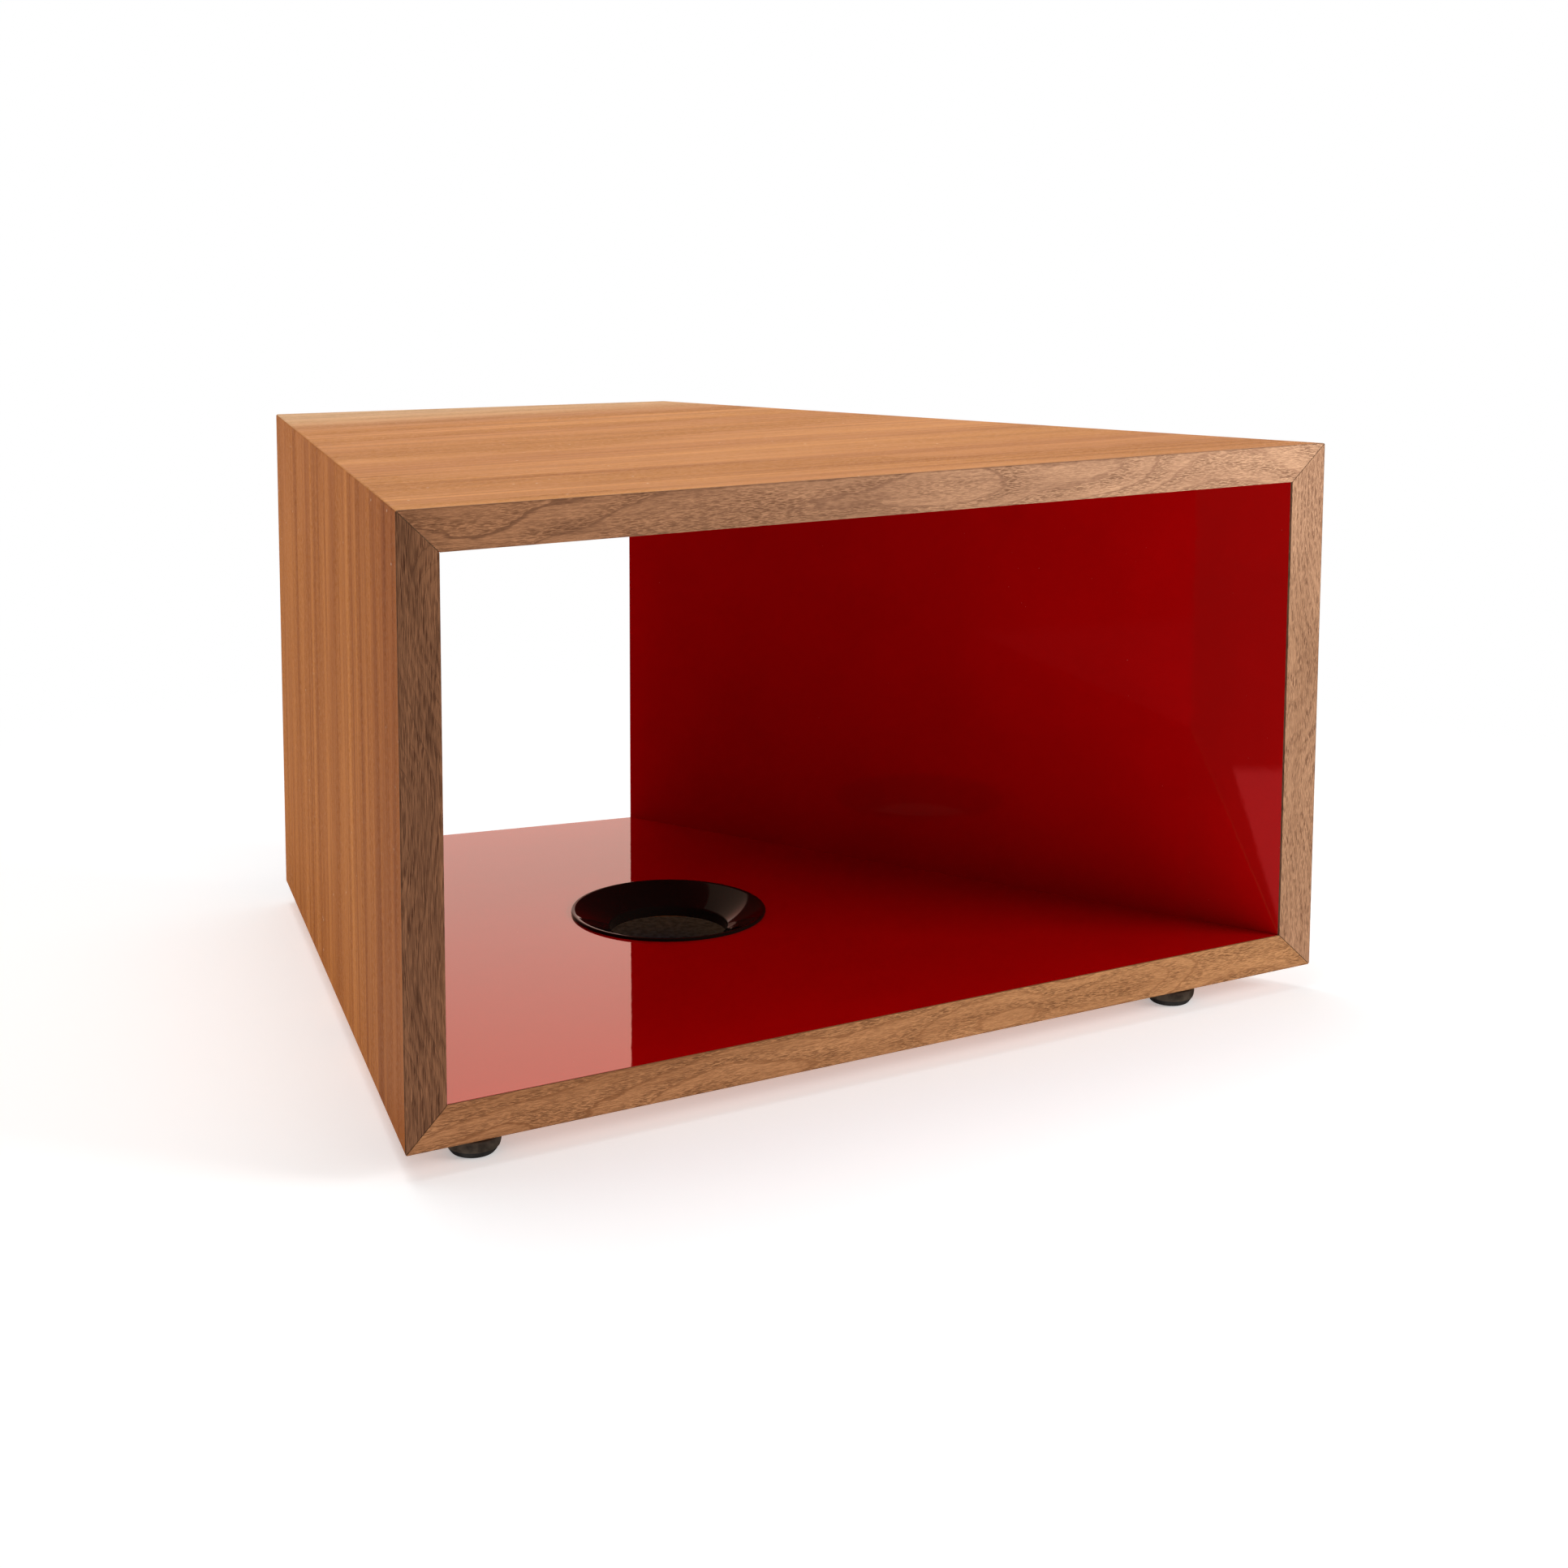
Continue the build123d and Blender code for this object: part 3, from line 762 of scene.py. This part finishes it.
@dataclass
class Carcass:
    """Four mitred boards, each with a veneer, a laminate and two lippings over its core."""

    arris_round: float = 0.0016
    open_edge_round: float = 0.0003
    laminate_round: float = 0.0004
    mitre_gap: float = 0.0003
    round_steps: int = 3
    flat_angle: float = math.radians(0.5)
    edge_angle: float = math.radians(40)
    same_way: float = 0.98
    other_way: float = 0.95
    cut_slack: float = 1e-8
    body: str = "carcass"

    def __post_init__(self) -> None:
        """Read the outer plan corners from the top veneer, and work out which way is out."""
        low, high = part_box("top_veneer")
        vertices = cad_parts["top_veneer"].data.vertices
        points = [vertex.co.copy() for vertex in vertices if high.z - vertex.co.z < LEVEL]
        front = [point for point in points if point.y - low.y < LEVEL]
        back = [point for point in points if point not in front]
        self.corners = {
            "front_left": min(front, key=lambda point: point.x),
            "front_right": max(front, key=lambda point: point.x),
            "back_left": max(back, key=lambda point: point.y),
            "back_right": max(back, key=lambda point: point.x),
        }
        self.top = high.z
        self.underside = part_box("bottom_veneer")[0].z
        self.out: dict[Board | Layer, Vector] = {
            Board.TOP: Vector((0.0, 0.0, 1.0)),
            Board.BOTTOM: Vector((0.0, 0.0, -1.0)),
            Board.LEFT: self.outward("back_left", "front_left"),
            Board.RIGHT: self.outward("front_right", "back_right"),
            Layer.FRONT_LIPPING: self.outward("front_left", "front_right"),
            Layer.BACK_LIPPING: self.outward("back_right", "back_left"),
        }

    def outward(self, start: str, end: str) -> Vector:
        """Level unit vector that points out of the side between two corners, taken anticlockwise."""
        along = self.corners[end] - self.corners[start]
        return Vector((along.y, -along.x, 0.0)).normalized()

    def turn(self, board: Board, layer: Layer) -> Euler:
        """The turn that lays the fibres of a piece along X.

        Args:
            board: Its board.
            layer: Its layer.

        Returns:
            The turn.
        """
        if board in (Board.LEFT, Board.RIGHT):
            return Euler((0.0, math.pi / 2, 0.0))
        if layer is Layer.BACK_LIPPING:
            along = self.corners["back_right"] - self.corners["back_left"]
            return Euler((0.0, 0.0, -math.atan2(along.y, along.x)))
        return Euler((0.0, 0.0, 0.0))

    def solid(self, node: str) -> BMesh:
        """A clean copy of a CAD solid, with its triangles merged into flat faces.

        Args:
            node: The CAD node.

        Returns:
            The copy.
        """
        bm = bmesh.new()
        bm.from_mesh(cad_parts[node].data)
        bmesh.ops.remove_doubles(bm, verts=bm.verts, dist=CAD_WELD)
        bmesh.ops.dissolve_limit(bm, angle_limit=self.flat_angle, verts=bm.verts, edges=bm.edges)
        return bm

    def trim(self, bm: BMesh, point: Vector, normal: Vector) -> None:
        """Cut away and close what lies outside a plane.

        Args:
            bm: The piece.
            point: A point on the plane.
            normal: The way out.
        """
        whole = [*bm.verts, *bm.edges, *bm.faces]
        bmesh.ops.bisect_plane(
            bm, geom=whole, dist=self.cut_slack, plane_co=point, plane_no=normal, clear_outer=True
        )
        bmesh.ops.holes_fill(bm, edges=[edge for edge in bm.edges if edge.is_boundary], sides=0)

    def round_arrises(self, bm: BMesh, board: Board) -> None:
        """Round a piece's long outer edges, so that two mitred pieces make one soft arris.

        Args:
            bm: The veneer or lipping.
            board: Its board.
        """
        level = board in (Board.TOP, Board.BOTTOM)
        neighbours = (Board.LEFT, Board.RIGHT) if level else (Board.TOP, Board.BOTTOM)
        for neighbour in neighbours:
            flat, wall = (board, neighbour) if level else (neighbour, board)
            corner = self.corners["front_left" if wall is Board.LEFT else "front_right"].copy()
            corner.z = self.top if flat is Board.TOP else self.underside
            up, out = self.out[flat], self.out[wall]
            centre = corner - (up + out) * self.arris_round
            for step in range(1, self.round_steps + 1):
                angle = math.pi / 2 * step / (self.round_steps + 1)
                normal = up * math.cos(angle) + out * math.sin(angle)
                self.trim(bm, centre + normal * self.arris_round, normal)

    def bevel(self, bm: BMesh, first: list[Vector], second: list[Vector], size: float) -> None:
        """Round the edges between faces that look two ways.

        Args:
            bm: The piece.
            first: Ways that one of the two faces may look.
            second: Ways that the other may look. Empty for any way.
            size: Size of the rounding.
        """
        def looks(face: bmesh.types.BMFace, ways: list[Vector]) -> bool:
            """Whether a face looks one of several ways."""
            return any(face.normal.dot(way) > self.same_way for way in ways)

        chosen = []
        for edge in bm.edges:
            if len(edge.link_faces) != 2 or edge.calc_face_angle(0.0) < self.edge_angle:
                continue
            one, other = edge.link_faces
            for face, across in ((one, other), (other, one)):
                if looks(face, first) and (not second or looks(across, second)):
                    chosen.append(edge)
                    break
        ease(bm, chosen, size, self.round_steps)

    def veneer(self, board: Board) -> BMesh:
        """A veneer with soft arrises.

        Args:
            board: Its board.

        Returns:
            The veneer.
        """
        bm = self.solid(f"{board.value}_veneer")
        self.round_arrises(bm, board)
        return bm

    def laminate(self, board: Board) -> BMesh:
        """A laminate whose ends are eased, which leaves a fine seam line behind the lippings.

        Args:
            board: Its board.

        Returns:
            The laminate.
        """
        bm = self.solid(f"{board.value}_laminate")
        bm.normal_update()
        ends = [self.out[layer] for layer in LIPPINGS]
        self.bevel(bm, [-self.out[board]], ends, self.laminate_round)
        return bm

    def lipping(self, board: Board, layer: Layer) -> BMesh:
        """A lipping with soft arrises and an eased open face, cut a little short at its mitres.

        Args:
            board: Its board.
            layer: Front or back lipping.

        Returns:
            The lipping.
        """
        bm = self.solid(f"{board.value}_{layer.value}")
        bm.normal_update()
        open_side = self.out[layer]
        flat = (open_side, -open_side, self.out[board], -self.out[board])
        ends = [face for face in bm.faces if max(face.normal.dot(way) for way in flat) < self.other_way]
        for point, normal in [(face.calc_center_median(), face.normal.copy()) for face in ends]:
            self.trim(bm, point - normal * self.mitre_gap / 2, normal)
        self.round_arrises(bm, board)
        bm.normal_update()
        self.bevel(bm, [open_side], [], self.open_edge_round)
        return bm

    def build(self) -> None:
        """Build and dress every piece of the four boards."""
        raw_board = RAW_BOARD.material("raw_board")
        for board in Board:
            dress_node(f"{board.value}_core", raw_board)
            for layer in Layer:
                node = f"{board.value}_{layer.value}"
                turn = self.turn(board, layer)
                if layer is Layer.VENEER:
                    bm = self.veneer(board)
                    material = VENEERS[board].material(f"walnut_{node}", turn)
                elif layer is Layer.LAMINATE:
                    bm = self.laminate(board)
                    material = LAMINATES[board].material(f"red_{node}")
                else:
                    bm = self.lipping(board, layer)
                    material = LIPPINGS[layer][board].material(f"walnut_{node}", turn, self.out[layer])
                finish_piece(bm, node, self.body, material)
        dress_node("mitre_biscuits", PRESSED_BEECH.material("pressed_beech"))
        dress_node("threaded_inserts", ZINC_STEEL.material("zinc_insert"))


class Profile:
    """A half section in a plane through an upright axis, which is spun into a turned piece."""

    def __init__(self, axis: Vector, points: list[tuple[float, float]]) -> None:
        """Draw a closed line.

        Args:
            axis: A point on the upright axis.
            points: Radius and height of each corner, in order.
        """
        self.axis = axis
        self.bm = bmesh.new()
        self.corners = [self.bm.verts.new((axis.x + radius, axis.y, height)) for radius, height in points]
        for start, end in zip(self.corners, [*self.corners[1:], self.corners[0]]):
            self.bm.edges.new((start, end))

    def ease(self, numbers: list[int], size: float, steps: int) -> None:
        """Round some corners, named by their place in the list of points."""
        ease(self.bm, [self.corners[number] for number in numbers], size, steps, "VERTICES")

    def spun(self, steps: int) -> BMesh:
        """Spin the line once round the axis."""
        bmesh.ops.spin(
            self.bm, geom=[*self.bm.verts, *self.bm.edges], cent=self.axis, axis=(0.0, 0.0, 1.0),
            angle=2 * math.pi, steps=steps, use_merge=True,
        )
        return self.bm


@dataclass
class CablePort:
    """Gloss black funnel ring in the floor."""

    rim_height: float = 0.0025
    lip_width: float = 0.0026
    lip_round: float = 0.0012
    cone_depth: float = 0.012
    throat_round: float = 0.0012
    bore_radius: float = 0.0505
    bore_length: float = 0.009
    wall: float = 0.003
    rim_overlap: float = 0.0058
    skirt_depth: float = 0.016
    edge_round: float = 0.0005
    steps: int = 160
    node: str = "cable_port_ring"
    body: str = "carcass"

    def ring(self) -> BMesh:
        """Spin the ring's section.

        Returns:
            The ring.
        """
        low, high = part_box(self.node)
        axis = (low + high) / 2
        floor = high.z - self.rim_height
        rim = (high.x - low.x) / 2
        crest = rim - self.lip_width
        throat = floor - self.cone_depth
        slope = (high.z - throat) / (crest - self.bore_radius)
        drop = self.wall * math.sqrt(1 + slope**2)
        skirt = rim - self.rim_overlap
        neck = self.bore_radius + self.wall
        inner_skirt = skirt - self.wall
        section = Profile(axis, [
            (rim, floor),
            (rim, high.z),
            (crest, high.z),
            (self.bore_radius, throat),
            (self.bore_radius, throat - self.bore_length),
            (neck, throat - self.bore_length),
            (neck, throat + self.wall * slope - drop),
            (inner_skirt, throat + (inner_skirt - self.bore_radius) * slope - drop),
            (inner_skirt, floor - self.skirt_depth),
            (skirt, floor - self.skirt_depth),
            (skirt, floor),
        ])
        section.ease([1, 2], self.lip_round, steps=8)
        section.ease([3], self.throat_round, steps=5)
        section.ease([4, 5, 8, 9], self.edge_round, steps=3)
        return section.spun(self.steps)

    def build(self) -> None:
        """Build and dress the ring."""
        finish_piece(self.ring(), self.node, self.body, BLACK_GLOSS.material("black_gloss"), turned=True)


@dataclass
class LevellingFoot:
    """One screw-in foot: rubber pad, moulded barrel and steel stem."""

    name: str
    radius: float = 0.02
    taper_height: float = 0.0105
    taper_round: float = 0.0145
    side_points: int = 7
    pad_step: float = 0.0005
    pad_round: float = 0.0008
    barrel_round: float = 0.0012
    neck_radius: float = 0.004
    neck_clearance: float = 0.00005
    head_radius: float = 0.008
    head_height: float = 0.003
    head_clearance: float = 0.0003
    collar_gap: float = 0.0003
    collar_height: float = 0.0045
    across_flats: float = 0.017
    edge_round: float = 0.0003
    tip_round: float = 0.0006
    thread_radius: float = 0.005
    thread_pitch: float = 0.0015
    thread_depth: float = 0.0009
    ridge_sunk: float = 0.00005
    ridge_share: float = 0.44
    crest_share: float = 0.15
    steps: int = 96
    stem_steps: int = 48
    thread_steps: int = 36

    def __post_init__(self) -> None:
        """Read the foot's axis and levels from its CAD solids."""
        pad_low, pad_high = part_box(self.node("pad"))
        base_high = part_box(self.node("base"))[1]
        stem_low, stem_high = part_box(self.node("stem"))
        self.axis = (pad_low + pad_high) / 2
        self.ground, self.seam, self.base_top = pad_low.z, pad_high.z, base_high.z
        self.head_bottom, self.stem_top = stem_low.z, stem_high.z

    def node(self, piece: str) -> str:
        """Name of one of the foot's CAD nodes."""
        return f"foot_{piece}_{self.name}"

    def taper(self, height: float) -> float:
        """Radius of the foot's rounded outside at a height."""
        drop = max(self.taper_height - height, 0.0)
        return self.radius - self.taper_round + math.sqrt(self.taper_round**2 - drop**2)

    def rounded_side(self, bottom: float, top: float, inset: float) -> list[tuple[float, float]]:
        """Points down the foot's rounded outside.

        Args:
            bottom: Lowest height.
            top: Highest height.
            inset: How far the side is set in.

        Returns:
            Radius and height of each point, from the top down.
        """
        last = self.side_points - 1
        heights = [top + (bottom - top) * step / last for step in range(self.side_points)]
        return [(self.taper(height) - inset, height) for height in heights]

    def pad(self) -> BMesh:
        """The soft pad, with a rounded lower edge.

        Returns:
            The pad.
        """
        side = self.rounded_side(self.ground, self.seam, self.pad_step)
        section = Profile(self.axis, [(0.0, self.seam), *side, (0.0, self.ground)])
        section.ease([len(side)], self.pad_round, steps=4)
        return section.spun(self.steps)

    def base(self) -> BMesh:
        """The barrel, with a pocket for the stem's head and a hole for its neck.

        Returns:
            The barrel.
        """
        pocket = self.head_radius + self.head_clearance
        pocket_top = self.head_bottom + self.head_height + self.head_clearance
        hole = self.neck_radius + self.neck_clearance
        side = self.rounded_side(self.seam, self.taper_height, 0.0)
        section = Profile(self.axis, [
            (hole, self.base_top), (self.radius, self.base_top), *side,
            (pocket, self.seam), (pocket, pocket_top), (hole, pocket_top),
        ])
        section.ease([1], self.barrel_round, steps=5)
        section.ease([len(side) + 1], self.edge_round, steps=2)
        return section.spun(self.steps)

    def stem(self) -> BMesh:
        """The screw: trapped head, neck, hexagon collar and a cut thread.

        Returns:
            The screw.
        """
        head_top = self.head_bottom + self.head_height
        collar_bottom = self.base_top + self.collar_gap
        collar_top = collar_bottom + self.collar_height
        core = self.thread_radius - self.thread_depth
        bm = Profile(self.axis, [
            (0.0, self.head_bottom), (self.head_radius, self.head_bottom), (self.head_radius, head_top),
            (self.neck_radius, head_top), (self.neck_radius, collar_bottom), (0.0, collar_bottom),
        ]).spun(self.stem_steps)
        self.add_collar(bm, collar_bottom)
        shank = Profile(self.axis, [
            (0.0, collar_top), (core, collar_top), (core, self.stem_top), (0.0, self.stem_top),
        ])
        shank.ease([2], self.tip_round, steps=2)
        self.join(bm, shank.spun(self.stem_steps))
        self.join(bm, self.thread(collar_top + self.thread_pitch, core))
        return bm

    def join(self, bm: BMesh, other: BMesh) -> None:
        """Add another bmesh to one.

        Args:
            bm: The one that grows.
            other: The one that is added. It is freed.
        """
        scratch = bpy.data.meshes.new("scratch")
        other.to_mesh(scratch)
        other.free()
        bm.from_mesh(scratch)
        bpy.data.meshes.remove(scratch)

    def add_collar(self, bm: BMesh, bottom: float) -> None:
        """Add the hexagon collar.

        Args:
            bm: The stem.
            bottom: Height of the collar's underside.
        """
        corner = self.across_flats / math.sqrt(3)
        ring = bmesh.ops.create_circle(bm, cap_ends=True, segments=6, radius=corner)["verts"]
        turn = Euler((0.0, 0.0, math.radians(30))).to_matrix()
        bmesh.ops.rotate(bm, cent=(0.0, 0.0, 0.0), matrix=turn, verts=ring)
        bmesh.ops.translate(bm, vec=(self.axis.x, self.axis.y, bottom), verts=ring)
        raised = bmesh.ops.extrude_face_region(bm, geom=[ring[0].link_faces[0]], use_keep_orig=True)["geom"]
        top = [part for part in raised if isinstance(part, bmesh.types.BMVert)]
        bmesh.ops.translate(bm, vec=(0.0, 0.0, self.collar_height), verts=top)
        edges = {edge for vert in [*ring, *top] for edge in vert.link_edges}
        ease(bm, list(edges), self.edge_round, steps=2)

    def thread(self, bottom: float, core: float) -> BMesh:
        """The thread's ridge, wound up the shank.

        Args:
            bottom: Height where the ridge starts.
            core: Radius at the thread's root.

        Returns:
            The ridge.
        """
        bm = bmesh.new()
        half = self.thread_pitch * self.ridge_share
        crest = half * self.crest_share
        root = core - self.ridge_sunk
        section = [(root, -half), (self.thread_radius, -crest), (self.thread_radius, crest), (root, half)]
        x, y = self.axis.x, self.axis.y
        bm.faces.new([bm.verts.new((x + radius, y, bottom + height)) for radius, height in section])
        turns = int((self.stem_top - bottom - self.thread_pitch) / self.thread_pitch)
        bmesh.ops.spin(
            bm, geom=[*bm.verts, *bm.edges, *bm.faces], cent=self.axis, axis=(0.0, 0.0, 1.0),
            angle=2 * math.pi * turns, steps=self.thread_steps * turns,
            dvec=(0.0, 0.0, self.thread_pitch / self.thread_steps),
        )
        bmesh.ops.holes_fill(bm, edges=[edge for edge in bm.edges if edge.is_boundary], sides=0)
        return bm

    def build(self, barrel: Material, rubber: Material, steel: Material) -> None:
        """Build and dress the foot.

        Args:
            barrel: Finish of the barrel.
            rubber: Finish of the pad.
            steel: Finish of the stem.
        """
        finish_piece(self.base(), self.node("base"), f"foot_{self.name}", barrel, turned=True)
        finish_piece(self.pad(), self.node("pad"), f"foot_{self.name}", rubber, turned=True)
        finish_piece(self.stem(), self.node("stem"), f"stem_{self.name}", steel, turned=True)


@dataclass(frozen=True)
class Softbox:
    """A large soft lamp that looks at a point."""

    name: str
    place: Place
    aim: Place
    width: float
    height: float
    power: float
    mirrored: bool = False

    def light(self) -> None:
        """Put the lamp into the scene."""
        lamp = bpy.data.lights.new(self.name, "AREA")
        lamp.shape = "RECTANGLE"
        lamp.size, lamp.size_y = self.width, self.height
        lamp.energy = self.power
        holder = add_object(self.name, lamp)
        holder.location = self.place
        holder.rotation_euler = (Vector(self.aim) - Vector(self.place)).to_track_quat("-Z", "Y").to_euler()
        holder.visible_glossy = self.mirrored


@dataclass(frozen=True)
class Studio:
    """Pale floor, soft light, white surroundings and the photograph's camera.

    A span says where a change begins and where it ends: in metres on the floor, and in the parts of a unit
    vector in the sky.
    """

    floor_side: float = 24.0
    floor_colour: Colour = (0.88, 0.88, 0.88)
    floor_glow: float = 0.36
    floor_bounce: float = 1.0
    white_span: Span = (0.5, 1.3)
    shaded_colour: Colour = (0.068, 0.12, 0.25)
    shaded_span: Span = (0.22, 0.16)
    unlit_span: Span = (0.095, 0.08)
    grit_scale: float = 160.0
    grit_shade: Span = (0.5, 1.1)
    sky: float = 0.28
    pale_backdrop: Colour = (1.75, 1.12, 0.95)
    rosy_backdrop: Colour = (2.05, 0.9, 0.7)
    rosy_up: Span = (0.26, 0.38)
    lit_up: Span = (0.62, 0.44)
    lit_right: Span = (0.02, 0.2)
    soft_backdrop: Colour = (0.85, 0.5, 0.36)
    dim_backdrop: Colour = (0.34, 0.19, 0.13)
    soft_right: Span = (-0.25, -0.02)
    dim_room: Colour = (0.03, 0.016, 0.011)
    room_on_floor: Span = (0.3, 0.6)
    room_in_sky: Span = (0.1, 0.4)
    floor_before: Colour = (0.85, 0.11, 0.11)
    before_left: Span = (-0.42, -0.36)
    before_right: Span = (0.5, 0.4)
    before_front: Span = (-0.351, -0.356)
    before_slant: float = 0.04
    floor_beside: Colour = (0.7, 0.58, 0.46)
    beside_left: Span = (-0.8, -0.55)
    beside_right: Span = (-0.36, -0.42)
    beside_back: Span = (-0.25, -0.1)
    focal: float = 2916.43
    optical_centre: tuple[float, float] = (875.0, 560.0)
    camera_place: Place = (-0.9676, -1.75769, 0.67788)
    camera_heading: float = 29.0258
    camera_dip: float = 6.7435
    softboxes: tuple[Softbox, ...] = (
        Softbox("overhead", (-0.3, 0.3, 2.6), (0.0, 0.0, 0.4), 2.0, 2.0, power=36.0, mirrored=True),
        Softbox("front", (-0.4, -3.2, 0.5), (0.0, 0.0, 0.3), 2.4, 0.8, power=4.0),
        Softbox("right", (2.3, -2.2, 1.3), (-0.2, -0.2, 0.1), 1.4, 1.2, power=64.0),
        Softbox("left", (-2.0, 0.35, 0.1), (-0.35, 0.1, 0.04), 1.2, 0.18, power=8.5),
    )

    def mirrored(self, graph: Graph, way: Socket, room: Span) -> Socket:
        """Colour of the studio in a mirror: a backdrop, lit low on the right, and a dim room before it.

        Args:
            graph: The graph of the floor or the world.
            way: Place or direction that the mirror shows.
            room: Its Y part where the room ends and where the backdrop begins.

        Returns:
            The colour's socket.
        """
        right, back, up = graph.split(way)
        lit = graph.times(graph.remap(up, *self.lit_up), graph.remap(right, *self.lit_right))
        lit_colour = graph.mix(graph.remap(up, *self.rosy_up), self.pale_backdrop, self.rosy_backdrop)
        unlit_colour = graph.mix(graph.remap(right, *self.soft_right), self.dim_backdrop, self.soft_backdrop)
        backdrop = graph.mix(lit, unlit_colour, lit_colour)
        return graph.mix(graph.remap(back, *room), self.dim_room, backdrop)

    def mirrored_floor(self, graph: Graph, place: Socket) -> Socket:
        """Colour of the floor in a mirror: the studio's image, and lit floor before and beside the unit.

        Args:
            graph: The floor's graph.
            place: Place on the floor.

        Returns:
            The colour's socket.
        """
        right, back, _ = graph.split(place)
        slanted = graph.math("SUBTRACT", back, graph.times(right, self.before_slant))
        before = graph.times(
            graph.remap(right, *self.before_left), graph.remap(slanted, *self.before_front),
            graph.remap(right, *self.before_right),
        )
        beside = graph.times(
            graph.remap(right, *self.beside_left), graph.remap(right, *self.beside_right),
            graph.remap(back, *self.beside_back),
        )
        image = graph.mix(before, self.mirrored(graph, place, self.room_on_floor), self.floor_before)
        return graph.mix(beside, image, self.floor_beside)

    def floor_material(self) -> Material:
        """A matt finish that keeps the shadow, turns white far away and is clear from below.

        Returns:
            The material.
        """
        graph = Surface("studio_floor")
        graph.tree.nodes.remove(graph.principled)
        place = graph.place
        rays = graph.node("ShaderNodeLightPath").outputs
        camera_sees = rays["Is Camera Ray"]
        port = sum(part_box("cable_port_ring"), Vector()) / 2
        from_port = graph.length(graph.vector("SUBTRACT", place, (port.x, port.y, 0.0)))
        shaded = graph.times(graph.remap(from_port, *self.shaded_span), camera_sees)
        grit = graph.remap(graph.noise(place, 5.0, 0.6, self.grit_scale), 0.3, 0.7, *self.grit_shade)
        dark = graph.mix(1.0, self.shaded_colour, graph.combine(grit, grit, grit), "MULTIPLY")
        paint = graph.shader("BsdfDiffuse", {"Color": graph.mix(shaded, self.floor_colour, dark)})
        bright = graph.remap(camera_sees, 0.0, 1.0, self.floor_bounce, self.floor_glow)
        unlit = graph.math("MAXIMUM", shaded, graph.remap(from_port, *self.unlit_span))
        lift = graph.times(bright, graph.remap(unlit, 0.0, 1.0, 1.0, 0.0))
        glow = graph.shader("Emission", {"Strength": lift})
        near = graph.shader("AddShader", {0: paint, 1: glow})
        white = graph.shader("Emission", {"Strength": 1.0})
        far = graph.times(graph.remap(graph.length(place), *self.white_span), camera_sees)
        seen = graph.shader("MixShader", {0: far, 1: near, 2: white})
        image = graph.shader("Emission", {"Color": self.mirrored_floor(graph, place)})
        above = graph.shader("MixShader", {0: rays["Is Glossy Ray"], 1: seen, 2: image})
        below = graph.node("ShaderNodeNewGeometry").outputs["Backfacing"]
        both = graph.shader("MixShader", {0: below, 1: above, 2: graph.shader("BsdfTransparent")})
        graph.feed(graph.tree.nodes["Material Output"].inputs["Surface"], both)
        return graph.material

    def floor(self) -> None:
        """Lay the floor."""
        bm = bmesh.new()
        bmesh.ops.create_grid(bm, x_segments=1, y_segments=1, size=self.floor_side / 2)
        mesh = bpy.data.meshes.new("studio_floor")
        bm.to_mesh(mesh)
        bm.free()
        mesh.materials.append(self.floor_material())
        floor = add_object("studio_floor", mesh)

    def surroundings(self) -> None:
        """White to the camera, a backdrop and a room in mirrors, and an even light on everything else."""
        world = bpy.data.worlds.new("studio")
        world.use_nodes = True
        graph = Graph(world.node_tree)
        background = world.node_tree.nodes["Background"]
        rays = graph.node("ShaderNodeLightPath").outputs
        mirror_sees = rays["Is Glossy Ray"]
        way = graph.node("ShaderNodeTexCoord").outputs["Generated"]
        image = self.mirrored(graph, way, self.room_in_sky)
        graph.feed(background.inputs["Color"], graph.mix(mirror_sees, (1.0, 1.0, 1.0), image))
        straight = graph.math("MAXIMUM", rays["Is Camera Ray"], rays["Is Transmission Ray"])
        direct = graph.math("MAXIMUM", straight, mirror_sees)
        graph.feed(background.inputs["Strength"], graph.remap(direct, 0.0, 1.0, self.sky, 1.0))
        bpy.context.scene.world = world

    def camera(self) -> None:
        """The photograph's camera, with a shifted lens that keeps upright edges almost upright."""
        lens = bpy.data.cameras.new("photo_camera")
        lens.sensor_fit = "HORIZONTAL"
        lens.sensor_width = 36.0
        lens.lens = lens.sensor_width * self.focal / PHOTO_SIDE
        lens.shift_x = 0.5 - self.optical_centre[0] / PHOTO_SIDE
        lens.shift_y = self.optical_centre[1] / PHOTO_SIDE - 0.5
        lens.clip_start, lens.clip_end = 0.05, 60.0
        camera = add_object("photo_camera", lens)
        camera.location = self.camera_place
        camera.rotation_euler = (math.radians(90 - self.camera_dip), 0.0, math.radians(-self.camera_heading))
        bpy.context.scene.camera = camera

    def build(self) -> None:
        """Set up the whole studio."""
        self.floor()
        self.surroundings()
        for softbox in self.softboxes:
            softbox.light()
        self.camera()
        bpy.context.scene.view_settings.view_transform = "Standard"


def main() -> None:
    """Build every sub-assembly, then the studio."""
    logging.basicConfig(level=logging.INFO, format="%(name)s: %(message)s")
    Carcass().build()
    CablePort().build()
    barrel = BLACK_FOOT.material("black_foot")
    rubber = BLACK_RUBBER.material("black_rubber")
    steel = ZINC_STEEL.material("zinc_stem")
    for name in ("front_left", "front_right", "back_left", "back_right"):
        LevellingFoot(name).build(barrel, rubber, steel)
    Studio().build()


if __name__ == "__main__":
    main()
